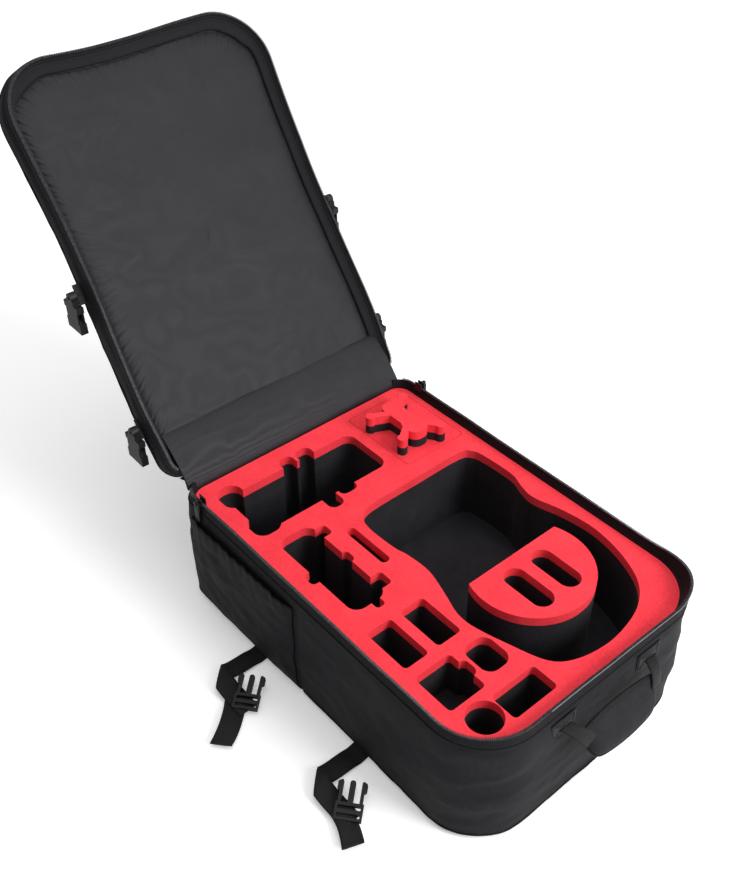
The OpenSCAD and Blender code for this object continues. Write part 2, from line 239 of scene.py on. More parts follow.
def apply_all(obj):
    """Bakes an object's modifiers into its mesh."""
    graph = bpy.context.evaluated_depsgraph_get()
    graph.update()
    mesh = bpy.data.meshes.new_from_object(obj.evaluated_get(graph), depsgraph=graph)
    old = obj.data
    obj.modifiers.clear()
    obj.data = mesh
    bpy.data.meshes.remove(old)


def smooth_sheet(obj, thickness, offset, levels=1):
    """Rounds an open sheet, then gives it its thickness in mm; offset is the side that it grows on."""
    modify(obj, "SUBSURF", levels=levels, render_levels=levels)
    apply_all(obj)
    modify(obj, "SOLIDIFY", thickness=thickness * MM, offset=offset)
    apply_all(obj)


def tube(name, path, radius, sides=10, closed=False):
    """A round cord along a path of points; radius is one number or one for each point."""
    path = np.asarray(path, float)
    n = len(path)
    radius = np.broadcast_to(radius, n)
    ahead = np.roll(path, -1, 0) if closed else np.r_[path[1:], path[-1:]]
    behind = np.roll(path, 1, 0) if closed else np.r_[path[:1], path[:-1]]
    tangent = unit_rows(ahead - behind)
    side = np.cross(tangent, [0.0, 0.0, 1.0])
    side[np.linalg.norm(side, axis=1) < 1e-3] = [1, 0, 0]
    side = unit_rows(side)
    lift = np.cross(side, tangent)
    rings = []
    for k in range(sides):
        a = 2 * math.pi * k / sides
        rings.append(path + (side * math.cos(a) + lift * math.sin(a)) * radius[:, None])
    rings = np.stack(rings, 1)
    along = run_length(path)
    around = np.arange(sides) * 2 * math.pi * float(radius.mean()) / sides
    uvs = np.stack(np.broadcast_arrays(along[:, None], around[None, :]), -1).reshape(-1, 2)
    faces = grid_faces(n, sides, wrap_cols=True, wrap_rows=closed)
    if not closed:
        faces.append(tuple(reversed(range(sides))))
        faces.append(tuple(range((n - 1) * sides, n * sides)))
    return new_mesh(name, rings.reshape(-1, 3), faces, uvs)


def ribbon(name, centre, across, width, thick, cols=9):
    """A flat strap: centre points, unit vectors across it, its width and its thickness."""
    centre, across = np.asarray(centre, float), np.asarray(across, float)
    normal = unit_rows(np.cross(unit_rows(np.gradient(centre, axis=0)), across))
    v = np.linspace(-1, 1, cols)
    edge = thick / 2 * np.sqrt(np.clip(1 - np.abs(v) ** 6, 0.12, 1))
    loop_v = np.r_[v, v[::-1]]
    loop_t = np.r_[edge, -edge[::-1]]
    verts = (
        centre[:, None, :]
        + across[:, None, :] * (loop_v * width / 2)[None, :, None]
        + normal[:, None, :] * loop_t[None, :, None]
    )
    along = run_length(centre)
    uvs = np.stack(np.broadcast_arrays(along[:, None], (loop_v * width / 2)[None, :]), -1)
    n, m = len(centre), 2 * cols
    faces = grid_faces(n, m, wrap_cols=True)
    faces += [tuple(reversed(range(m))), tuple(range((n - 1) * m, n * m))]
    return new_mesh(name, verts.reshape(-1, 3), faces, uvs.reshape(-1, 2))


def blocks(name, centres, forward, up, size, taper=0.75):
    """Many small blocks in one mesh, such as zipper teeth or stitches; size is length, width and height."""
    centres, forward, up = (np.asarray(a, float) for a in (centres, forward, up))
    forward = unit_rows(forward)
    side = unit_rows(np.cross(up, forward))
    up = np.cross(forward, side)
    a, b, c = size[0] / 2, size[1] / 2, size[2] / 2
    unit = []
    for z, k in ((-c, 1.0), (c * 0.3, 1.0), (c, taper)):
        unit += [(-a * k, -b, z), (a * k, -b, z), (a * k, b, z), (-a * k, b, z)]
    unit = np.array(unit)
    verts = (
        centres[:, None, :]
        + forward[:, None, :] * unit[None, :, 0:1]
        + side[:, None, :] * unit[None, :, 1:2]
        + up[:, None, :] * unit[None, :, 2:3]
    )
    faces = []
    cell = [(3, 2, 1, 0), (8, 9, 10, 11)]
    for r in (0, 4):
        cell += [(r + i, r + (i + 1) % 4, r + 4 + (i + 1) % 4, r + 4 + i) for i in range(4)]
    for k in range(len(centres)):
        faces += [tuple(k * 12 + i for i in f) for f in cell]
    return new_mesh(name, verts.reshape(-1, 3), faces, smooth=False)


def stitches(name, path, up, pitch=3.4, length=2.3, thick=0.55):
    """A row of thread stitches along a path."""
    path, up = np.asarray(path, float), np.asarray(up, float)
    s = run_length(path)
    at = np.arange(pitch / 2, s[-1], pitch)
    mid = np.stack([np.interp(at, s, path[:, i]) for i in range(3)], 1)
    nxt = np.stack([np.interp(at + 0.5, s, path[:, i]) for i in range(3)], 1)
    prv = np.stack([np.interp(at - 0.5, s, path[:, i]) for i in range(3)], 1)
    ups = np.stack([np.interp(at, s, np.broadcast_to(up, path.shape)[:, i]) for i in range(3)], 1)
    return blocks(name, mid, nxt - prv, ups, (length, thick, thick), 0.6)


# ---- materials ----


class Nodes:
    """Short way to build a procedural material."""

    def __init__(self, name):
        self.mat = bpy.data.materials.new(name)
        self.mat.use_nodes = True
        self.tree = self.mat.node_tree
        self.shader = self.tree.nodes["Principled BSDF"]
        self.coords = self.add("ShaderNodeTexCoord")

    def add(self, kind, **settings):
        node = self.tree.nodes.new(kind)
        for key, value in settings.items():
            setattr(node, key, value)
        return node

    def link(self, a, b):
        self.tree.links.new(a, b)

    def put(self, **sockets):
        for key, value in sockets.items():
            self.shader.inputs[key.replace("_", " ")].default_value = value

    def blend(self, a, share_a, b, share_b):
        """The sum of two values, each times its share."""
        return self.math("ADD", self.math("MULTIPLY", a, share_a), self.math("MULTIPLY", b, share_b))

    def math(self, op, a, b=None):
        node = self.add("ShaderNodeMath", operation=op)
        for i, v in enumerate((a, b)):
            if v is None:
                continue
            if isinstance(v, (int, float)):
                node.inputs[i].default_value = v
            else:
                self.link(v, node.inputs[i])
        return node.outputs[0]

    def noise(self, scale, detail=3.0, rough=0.5):
        node = self.add("ShaderNodeTexNoise")
        node.inputs["Scale"].default_value = scale
        node.inputs["Detail"].default_value = detail
        node.inputs["Roughness"].default_value = rough
        self.link(self.coords.outputs["Object"], node.inputs["Vector"])
        return node.outputs[0]

    def cells(self, scale):
        node = self.add("ShaderNodeTexVoronoi", feature="F1")
        node.inputs["Scale"].default_value = scale
        self.link(self.coords.outputs["Object"], node.inputs["Vector"])
        return node.outputs["Distance"]

    def ramp(self, value, stops):
        node = self.add("ShaderNodeValToRGB")
        self.link(value, node.inputs[0])
        ramp = node.color_ramp
        while len(ramp.elements) < len(stops):
            ramp.elements.new(0.5)
        for element, (at, colour) in zip(ramp.elements, stops):
            element.position = at
            element.color = (*colour, 1)
        return node.outputs[0]

    def bump(self, height, strength, distance, under=None):
        node = self.add("ShaderNodeBump")
        node.inputs["Strength"].default_value = strength
        node.inputs["Distance"].default_value = distance * MM
        self.link(height, node.inputs["Height"])
        if under is not None:
            self.link(under, node.inputs["Normal"])
        return node.outputs[0]

    def weave(self, pitch):
        """Over and under of a plain weave, from 0 to 1; pitch is one thread, in mm."""
        split = self.add("ShaderNodeSeparateXYZ")
        self.link(self.coords.outputs["Object"], split.inputs[0])
        k = math.pi / (pitch * MM)
        x, y, z = (self.math("SINE", self.math("MULTIPLY", split.outputs[i], k)) for i in range(3))
        xy, yz, zx = (self.math("MULTIPLY", a, b) for a, b in ((x, y), (y, z), (z, x)))
        total = self.math("ADD", self.math("ADD", xy, yz), zx)
        return self.math("ADD", self.math("MULTIPLY", total, 0.33), 0.5)

    def colour(self, value):
        self.link(value, self.shader.inputs["Base Color"])

    def roughness(self, value, low, high):
        node = self.add("ShaderNodeMapRange")
        node.inputs["To Min"].default_value = low
        node.inputs["To Max"].default_value = high
        self.link(value, node.inputs["Value"])
        self.link(node.outputs[0], self.shader.inputs["Roughness"])

    def normal(self, value):
        self.link(value, self.shader.inputs["Normal"])
        return self.mat


def shade(base, factor):
    return tuple(c * factor for c in base)


def cloth_material(name, base, pitch, rough=(0.6, 0.78), sheen=0.02, crease=0.6, fuzz=0.25, gloss=0.14):
    """Woven synthetic cloth: threads, fine fuzz, soft creases, and colour that varies with them."""
    m = Nodes(name)
    threads = m.weave(pitch)
    mottle = m.noise(14, 4, 0.6)
    mix = m.blend(threads, 0.35, mottle, 0.65)
    m.colour(m.ramp(mix, [(0.2, shade(base, 0.62)), (0.5, base), (0.85, shade(base, 1.5))]))
    m.roughness(mottle, *rough)
    m.put(Sheen_Weight=sheen, Sheen_Roughness=0.4, Specular_IOR_Level=gloss)
    soft = m.bump(m.noise(22, 3, 0.55), crease * 0.35, 3.0)
    fine = m.bump(m.noise(900, 2, 0.5), fuzz, 0.25, soft)
    return m.normal(m.bump(threads, 0.45, 0.22, fine))


def webbing_material(name, base):
    """Ribbed webbing: ribs along the strap and a herringbone across them, from the strap's own UVs."""
    m = Nodes(name)
    split = m.add("ShaderNodeSeparateXYZ")
    m.link(m.coords.outputs["UV"], split.inputs[0])
    along, across = split.outputs[0], split.outputs[1]
    slant = m.math("ABSOLUTE", across)
    ribs = m.math("SINE", m.math("MULTIPLY", across, 2 * math.pi / (2.2 * MM)))
    bones = m.math("SINE", m.math("MULTIPLY", m.math("ADD", along, slant), 2 * math.pi / (1.6 * MM)))
    height = m.math("ADD", m.blend(ribs, 0.35, bones, 0.3), 0.5)
    mottle = m.noise(60, 3, 0.6)
    mix = m.blend(height, 0.5, mottle, 0.5)
    m.colour(m.ramp(mix, [(0.15, shade(base, 0.5)), (0.5, base), (0.9, shade(base, 2.0))]))
    m.roughness(mottle, 0.5, 0.75)
    m.put(Sheen_Weight=0.02, Sheen_Roughness=0.5, Specular_IOR_Level=0.25)
    return m.normal(m.bump(height, 0.7, 0.5, m.bump(m.noise(1200, 2), 0.3, 0.2)))


def foam_material(name, base, bright, dark):
    """Closed-cell foam: a fine sanded grain, small open cells and a soft mottle."""
    m = Nodes(name)
    grain = m.noise(620, 4, 0.7)
    patch = m.noise(30, 4, 0.6)
    mix = m.blend(grain, 0.7, patch, 0.3)
    m.colour(m.ramp(mix, [(0.3, dark), (0.5, base), (0.72, bright)]))
    m.roughness(grain, 0.72, 0.95)
    m.put(Sheen_Weight=0.03, Sheen_Roughness=0.4, Specular_IOR_Level=0.15)
    pores = m.bump(m.cells(850), 0.3, 0.35, m.bump(patch, 0.12, 1.5))
    return m.normal(m.bump(grain, 0.5, 0.3, pores))


def plastic_material(name, base, rough=(0.42, 0.58), grain=0.25):
    """Moulded plastic: a fine spark-eroded grain with handling scuffs."""
    m = Nodes(name)
    scuff = m.noise(180, 5, 0.65)
    m.colour(m.ramp(scuff, [(0.3, shade(base, 0.8)), (0.6, base), (0.8, shade(base, 1.7))]))
    m.roughness(scuff, *rough)
    m.put(Specular_IOR_Level=0.3)
    return m.normal(m.bump(m.noise(2600, 2, 0.5), grain, 0.12, m.bump(scuff, 0.1, 0.4)))


def metal_material(name, base, rough):
    """Dark cast metal, a little worn."""
    m = Nodes(name)
    wear = m.noise(420, 4, 0.6)
    m.colour(m.ramp(wear, [(0.35, shade(base, 0.7)), (0.55, base), (0.75, shade(base, 1.3))]))
    m.roughness(wear, *rough)
    m.put(Metallic=1.0)
    return m.normal(m.bump(wear, 0.15, 0.2))


BLACK_CLOTH = cloth_material("shell_cloth", (0.0086, 0.008, 0.0102), 0.9)
LINING_CLOTH = cloth_material(
    "lining_satin", (0.0112, 0.0107, 0.0138), 0.5,
    rough=(0.4, 0.52), sheen=0.03, crease=0.5, fuzz=0.1, gloss=0.22,
)
TAPE_CLOTH = cloth_material("zip_tape", (0.0075, 0.0072, 0.0085), 0.8)
FACING_CLOTH = cloth_material("facing", (0.0095, 0.009, 0.011), 0.7)
PADDED_CLOTH = cloth_material("padded_cloth", (0.0125, 0.012, 0.0145), 0.9)
WEBBING = webbing_material("webbing", (0.008, 0.0078, 0.0088))
THREAD = cloth_material("thread", (0.02, 0.02, 0.023), 0.3, rough=(0.45, 0.6), crease=0.0, gloss=0.3)
# Light grey cloth for a cord that is a painted highlight along part of the rim's top edge
PAINTED_EDGE_HIGHLIGHT = cloth_material("painted_edge_highlight", (0.16, 0.16, 0.165), 0.4, crease=0.1, gloss=0.3)
FOAM_RED = foam_material("foam_red", (0.82, 0.04, 0.057), (0.93, 0.06, 0.08), (0.62, 0.022, 0.036))
FOAM_BLACK = foam_material("foam_black", (0.017, 0.016, 0.019), (0.034, 0.032, 0.037), (0.009, 0.008, 0.01))
PLASTIC = plastic_material("buckle_plastic", (0.007, 0.007, 0.008))
PULL_PLASTIC = plastic_material("pull_plastic", (0.014, 0.014, 0.015))
# The coil's grey is partly its own colour and partly painted highlight, lifted so that the teeth read as
# small light dots
COIL_TONE_AND_HIGHLIGHT = plastic_material("zip_coil", (0.045, 0.045, 0.05), (0.2, 0.34), 0.1)
SLIDER_METAL = metal_material("slider_metal", (0.05, 0.05, 0.052), (0.42, 0.58))


def paint(obj, material):
    obj.data.materials.clear()
    obj.data.materials.append(material)


def finish_piece(obj, material, body, slot, *nodes):
    """Gives a piece its material and body, and hides the CAD nodes that it stands for; slot is not used."""
    paint(obj, material)
    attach(obj, body)
    if nodes:
        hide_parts(*nodes)


# ---- bag body ----


def body_swell(points, normals, z):
    """How far the bag's wall stands out from its CAD wall, in mm, at height z."""
    t = np.clip(z / WALL_Z, 0, 1)
    p3 = at_height(points, z)
    near = smoothstep(0.5, 1.0, -normals[:, 1])
    far = smoothstep(0.5, 1.0, normals[:, 1])
    front = smoothstep(0.5, 1.0, normals[:, 0])
    belly = math.sin(math.pi * t) ** 0.8
    swell = (3.4 * (near + far) + 3.0 * front) * belly + 0.6
    swell += 4.0 * near * (1 - t) * smoothstep(40, -170, points[:, 0])
    corner = 1 - np.maximum(np.abs(normals[:, 0]), np.abs(normals[:, 1]))
    creases = ridges(p3, (140, 140, 60), 3.1) * (1.2 + 1.2 * corner) * belly
    slant = np.c_[p3[:, 0] + p3[:, 2] * 0.8, p3[:, 1], p3[:, 2] - p3[:, 0] * 0.35]
    folds = fbm(slant, (120, 120, 55), 8.2) * 2.4 * belly
    fine = fbm(p3, (24, 24, 14), 1.7) * 0.6
    return swell + creases + folds + fine


def seam_dip(points, normals, seam_x):
    """A shallow valley where a vertical seam crosses a long side."""
    side = np.abs(normals[:, 1]) > 0.9
    return np.where(side, -1.6 * np.exp(-(((points[:, 0] - seam_x) / 2.2) ** 2)), 0)


POCKET_SEAM_X = cad_box("side_pocket_near")[1][0] + 6


def wall_stand(points, normals, z):
    """How far the finished wall stands out, fading to nothing at the rim."""
    out = body_swell(points, normals, z) + seam_dip(points, normals, POCKET_SEAM_X)
    return out * smoothstep(WALL_Z + 3, WALL_Z - 14, z)


def wall_ring(z, inset=0.0, spacing=3.2):
    pts, nrm, _ = bag_outline(spacing)
    return at_height(pts + nrm * (wall_stand(pts, nrm, z) - inset)[:, None], z)


def make_body_shell():
    """The bag's outer cloth: a rounded foot, full walls and a turned edge under the rim."""
    rings = []
    foot = 9.0
    for scale in (0.02, 0.2, 0.4, 0.6, 0.8, 0.93):
        ring = wall_ring(0.0, foot)
        ring[:, :2] *= scale
        rings.append(ring)
    for a in np.radians([0, 22, 45, 68, 90]):
        rings.append(wall_ring(foot * (1 - math.cos(a)), foot * (1 - math.sin(a))))
    for z in np.arange(foot + 4, WALL_Z + 0.1, 3.6):
        rings.append(wall_ring(z))
    rings.append(wall_ring(WALL_Z, 0.4))
    rings.append(wall_ring(WALL_Z, 3.0))
    obj = loft("body_shell", rings, wrap_cols=True, cap_first=True)
    finish_piece(obj, BLACK_CLOTH, "case", "shell_fabric", "side_wall", "floor_panel")


def rim_wave(s):
    """Small sideways waves of the soft rim, the same for every piece of the rim."""
    return fbm(np.c_[s, np.zeros(len(s)), np.zeros(len(s))], 120, 5.5, 2) * 1.3


def rim_lift(pts):
    """The rim stands higher at the far corner of the handle end."""
    d = np.linalg.norm(pts - np.array([HALF_L - 14, HALF_W - 24]), axis=1)
    return 9.0 * np.exp(-((d / 44) ** 2))


def rim_line(inset, z, spacing=TAPE_SPACING, span=ZIP_RANGE):
    """A line along the soft rim, over a range of the outline."""
    pts, nrm, s = bag_outline(spacing, *span)
    t = np.clip((z - WALL_Z + 6) / (TEETH_Z - WALL_Z + 6), 0, 1)
    lift = rim_lift(pts) * t
    p = pts - nrm * (inset + rim_wave(s) * t - 0.6 * lift)[:, None]
    return np.c_[p, z + lift]


def make_rim():
    """Zipper tape that rises from the wall, turns over at the teeth and lines the inside of the rim."""
    profile = [
        (0.2, WALL_Z - 5), (-0.3, WALL_Z - 1), (0.1, WALL_Z + 2), (1.0, WALL_Z + 5.5),
        (1.9, WALL_Z + 8), (2.4, TAPE_Z + 0.2), (3.3, TAPE_Z + 0.3), (3.9, TAPE_Z - 2),
        (4.9, WALL_Z + 4), (6.0, WALL_Z), (6.6, WALL_Z - 6), (6.9, WALL_Z - 16),
    ]
    obj = loft("rim_tape", [rim_line(inset, z, span=TAPE_RANGE) for inset, z in profile])
    smooth_sheet(obj, TAPE_THICK, -1)
    finish_piece(obj, TAPE_CLOTH, "case", "trim_tape", "body_zip_tape")


def zip_teeth(name, line, up):
    """A row of zipper teeth along a line, whose tops face up."""
    ups = np.tile([0, 0, float(up)], (len(line), 1))
    obj = blocks(name, line, np.gradient(line, axis=0), ups, TEETH_SIZE, 0.7)
    modify(obj, "BEVEL", width=0.25 * MM, segments=1)
    apply_all(obj)
    return obj


def make_body_trim():
    """Zipper teeth, piping at rim and foot, a light grey cord painted as a highlight along part of the rim's
    top edge, and two rows of stitches.
    """
    teeth = zip_teeth("body_teeth", rim_line(2.8, TAPE_Z + 1.0, TEETH_PITCH), 1)
    finish_piece(teeth, COIL_TONE_AND_HIGHLIGHT, "case", "zip_coil", "body_zip_teeth")
    pts, nrm, _ = bag_outline(3.0)
    welt = at_height(pts + nrm * 0.4, WALL_Z - 3)
    finish_piece(tube("rim_cord", welt, 1.7, 10, True), TAPE_CLOTH, "case", "trim_tape", "rim_welt")
    foot = wall_ring(6.5, 0.0, 3.0)
    foot[:, :2] -= nrm * 0.2
    finish_piece(tube("floor_cord", foot, 1.3, 10, True), BLACK_CLOTH, "case", "trim_tape", "floor_piping")
    # Painted highlight: a light grey cord along part of the rim's top edge stands for the light caught there
    edge = rim_line(1.6, TAPE_Z + 0.6, span=(0.45, 0.62))
    finish_piece(tube("rim_painted_edge_highlight", edge, 0.75, 8), PAINTED_EDGE_HIGHLIGHT, "case", "trim_tape")
    outward = at_height(bag_outline(TAPE_SPACING, *ZIP_RANGE)[1], 0.0)
    for i, (inset, z) in enumerate(((-0.2, WALL_Z + 0.8), (-0.45, WALL_Z - 7.2))):
        row = stitches(f"rim_stitches_{i}", rim_line(inset, z), outward)
        finish_piece(row, THREAD, "case", "trim_tape")


def make_side_pocket(side, name, node):
    """A flat pocket panel on a long side, slightly full, with its mouth edge gathered."""
    low, high = cad_box(node)
    cols, rows = 66, 30
    xs = np.linspace(low[0], high[0], cols)
    zs = np.linspace(low[2], high[2] + 5, rows)
    gx, gz = np.meshgrid(xs, zs)
    nrm = np.tile([0.0, side], (cols, 1))
    pts = np.c_[xs, np.full(cols, side * HALF_W)]
    base = np.stack([wall_stand(pts, nrm, z) for z in zs])
    u = (gx - low[0]) / (high[0] - low[0])
    v = (gz - zs[0]) / (zs[-1] - zs[0])
    edge = np.clip(np.minimum(np.minimum(u, 1 - u) * 9, np.minimum(v * 5, 1)), 0, 1)
    full = 4.2 * edge ** 0.6 * (0.55 + 0.45 * v)
    p3 = np.c_[gx.ravel(), np.full(gx.size, side * 50.0), gz.ravel()]
    creases = ridges(p3, (60, 1, 22), 2.2) * 1.3 + fbm(p3, (18, 1, 30), 4.4) * 0.7
    gather = 0.8 * np.sin(gx / 2.6) * smoothstep(0.86, 1.0, v)
    out = base + full + creases.reshape(gx.shape) * edge + gather + 0.6
    front = np.stack([gx, side * (HALF_W + out), gz], -1)
    obj = loft(name, list(front))
    smooth_sheet(obj, 1.2, -side)
    finish_piece(obj, BLACK_CLOTH, "case", "shell_fabric", node)
    return front[-1] + [0, side * 0.2, -2.5]


def make_pockets():
    """The two side pockets and the elastic band along each mouth."""
    lines = []
    for side, label in SIDES:
        lines.append(make_side_pocket(side, f"pocket_{label}_panel", f"side_pocket_{label}"))
    for (side, label), line in zip(SIDES, lines):
        band = ribbon(f"pocket_band_{label}", line, np.tile([0, 0, 1.0], (len(line), 1)), 7.5, 2.6)
        nodes = ("pocket_elastics",) if side < 0 else ()
        finish_piece(band, TAPE_CLOTH, "case", "trim_tape", *nodes)


# ---- lid, drawn closed ----

LID_MATRIX = (
    Matrix.Translation(Vector(HINGE * MM))
    @ Matrix.Rotation(-LID_OPEN, 4, "Y")
    @ Matrix.Translation(Vector(-HINGE * MM))
)


def lid_bend(points):
    """The soft lid curls back a little towards its free end, and its edges are wavy."""
    p = np.array(points, float)
    t = np.clip((p[:, 0] + HALF_L) / (2 * HALF_L), 0, 1)
    side = p[:, 1] / HALF_W
    wave = 3.2 * np.sin(side * 2.9 + 0.5) * t ** 4
    ripple = 0.8 * np.sin(p[:, 0] / 34.0 + 1.0) * smoothstep(0.1, 0.35, t)
    p[:, 0] += 3.2 * np.sin(side * 3.6 - 0.6) * smoothstep(0.75, 1.0, t) - 3.0 * smoothstep(0.7, 1.0, t)
    p[:, 1] += 3.0 * np.sin(t * 7.5 + 0.4) * side * smoothstep(0.0, 0.2, t)
    p[:, 2] += 1.5 * t ** 2.2 + wave + np.abs(ripple)
    return p


def finish_lid_piece(obj, material, slot, *nodes):
    """Opens a piece that was drawn closed, and finishes it as part of the lid."""
    obj.matrix_world = LID_MATRIX
    finish_piece(obj, material, "lid", slot, *nodes)


def lid_ring(inset, z, spacing=3.2, span=(0.0, 1.0), soft=0.0):
    """A line round the lid before it is bent; inset is in mm, and soft is the share of its slack."""
    pts, nrm, _ = bag_outline(spacing, *span)
    p3 = at_height(pts, z)
    out = soft * (ridges(p3, (60, 60, 16), 6.0) * 0.9 + fbm(p3, (90, 90, 30), 2.0) * 1.5)
    return at_height(pts - nrm * (inset - out)[:, None], z)


def make_lid_shell():
    """The lid's outer cloth: a turned edge, a soft gusset and a slightly crowned panel."""
    rings = [
        lid_ring(3.2, LID_SEAM_Z - 1.5), lid_ring(0.4, LID_SEAM_Z - 0.5, soft=0.2),
        lid_ring(-0.2, LID_SEAM_Z + 3, soft=0.6),
    ]
    for z in np.arange(LID_SEAM_Z + 6, LID_PANEL_Z - 2, 3.0):
        rings.append(lid_ring(-1.2, z, soft=1.0))
    rings += [lid_ring(-0.3, LID_PANEL_Z, soft=0.8), lid_ring(1.2, LID_PANEL_Z + 2.6, soft=0.5)]
    edge = lid_ring(5.0, LID_TOP_Z - 0.5)
    rings.append(edge)
    for scale in (0.97, 0.93, 0.88, 0.82, 0.75, 0.67, 0.58, 0.48, 0.38, 0.27, 0.15, 0.02):
        ring = edge.copy()
        ring[:, :2] *= scale
        swell = 3.5 * (1 - scale ** 6)
        ring[:, 2] += swell + fbm(ring, (120, 120, 50), 9.0) * 2.2 + ridges(ring, (90, 60, 50), 4.0) * 0.9
        rings.append(ring)
    obj = loft("lid_shell", [lid_bend(ring) for ring in rings], wrap_cols=True, cap_last=True)
    finish_lid_piece(obj, BLACK_CLOTH, "shell_fabric", "lid_panel", "lid_gusset", "lid_padding")


FACING_INSET = 9.0


def facing_band(nrm):
    """Extra width of the facing, past FACING_INSET, at the lid's free end and along its far side."""
    return np.clip(9.0 * smoothstep(0.2, 0.9, nrm[:, 0]) + 7.0 * smoothstep(0.2, 0.9, nrm[:, 1]), 0, 11)


def make_lid_rim():
    """Zipper tape on the lid's edge, turned in to a facing that meets the lining."""
    profile = [
        (0.6, LID_SEAM_Z + 2), (-0.1, LID_SEAM_Z - 1), (0.6, LID_SEAM_Z - 5),
        (1.6, LID_TEETH_Z + 2), (2.3, LID_TEETH_Z + 1.2), (3.4, LID_TEETH_Z + 1.2),
        (4.6, LID_TEETH_Z + 2.6), (7.2, LID_TEETH_Z + 6), (8.6, LID_LINING_Z - 4.5),
        (9.5, LID_LINING_Z - 2.2), (10.5, LID_LINING_Z - 1.0), (10.2, LID_LINING_Z + 3),
    ]
    nrm = bag_outline(TAPE_SPACING, *TAPE_RANGE)[1]
    rings = []
    for inset, z in profile:
        ring = lid_ring(inset, z, TAPE_SPACING, TAPE_RANGE)
        if inset > FACING_INSET:
            ring[:, :2] -= nrm * facing_band(nrm)[:, None]
        rings.append(lid_bend(ring))
    obj = loft("lid_tape", rings)
    smooth_sheet(obj, TAPE_THICK, 1)
    finish_lid_piece(obj, FACING_CLOTH, "trim_tape", "lid_zip_tape")

    line = lid_bend(lid_ring(2.8, LID_TEETH_Z + 0.6, TEETH_PITCH, ZIP_RANGE))
    finish_lid_piece(zip_teeth("lid_teeth", line, -1), COIL_TONE_AND_HIGHLIGHT, "zip_coil", "lid_zip_teeth")

    line = lid_bend(lid_ring(-0.8, LID_PANEL_Z - 0.5, 3.0, soft=0.6))
    finish_lid_piece(tube("lid_cord", line, 1.7, 10, True), TAPE_CLOTH, "trim_tape", "lid_piping")
    for i, (inset, z) in enumerate(((6.2, LID_TEETH_Z + 4.2), (8.4, LID_TEETH_Z + 7.0))):
        path = lid_bend(lid_ring(inset, z, TAPE_SPACING, ZIP_RANGE))
        row = stitches(f"lid_stitches_{i}", path, [0, 0, -1.0], 3.2, 2.2, 0.5)
        finish_lid_piece(row, THREAD, "trim_tape")


def make_lid_lining():
    """Satin lining over thin padding: flat in the middle, gathered where it is sewn at the edge."""
    edge, nrm, s = bag_outline(2.2, inset=FACING_INSET + 0.5)
    edge = edge - nrm * facing_band(nrm)[:, None]
    gather_side = smoothstep(0.3, 0.9, -nrm[:, 1]) + 0.6 * smoothstep(0.3, 0.9, nrm[:, 0]) + 0.25
    phase = np.sin(s / 1.15) * 0.6 + np.sin(s / 1.9 + 2 * np.sin(s / 37)) * 0.5
    rings = [at_height(edge, LID_LINING_Z + 4.0)]
    reach = np.linalg.norm(edge, axis=1)
    for d in (0, 1.0, 2.5, 4.5, 7, 10, 14, 19, 26, 35):
        rise = 3.0 * (1 - np.exp(-d / 6.0))
        gather = phase * gather_side * 1.5 * np.exp(-d / 8.0) * min(1, d / 1.5)
        rings.append(np.c_[edge * (1 - d / reach)[:, None], LID_LINING_Z + 1.8 - rise + gather])
    inner = rings[-1]
    for scale in np.linspace(0.97, 0.01, 34):
        rings.append(np.c_[inner[:, :2] * scale, inner[:, 2]])
    for ring in rings[2:]:
        flat = at_height(ring[:, :2], 0.0)
        tip = smoothstep(HALF_L - 150, HALF_L - 20, ring[:, 0])
        ring[:, 2] += fbm(flat, (130, 110, 50), 12.0) * 1.3
        ring[:, 2] += ridges(flat, (46, 75, 50), 5.0) * (0.25 + 1.0 * tip)
        ring[:, 2] = np.maximum(ring[:, 2], LID_LINING_Z - 4.0)
    obj = loft("lid_lining_panel", [lid_bend(r) for r in rings], wrap_cols=True, cap_last=True)
    obj.data.flip_normals()
    finish_lid_piece(obj, LINING_CLOTH, "lining_fabric", "lid_lining")


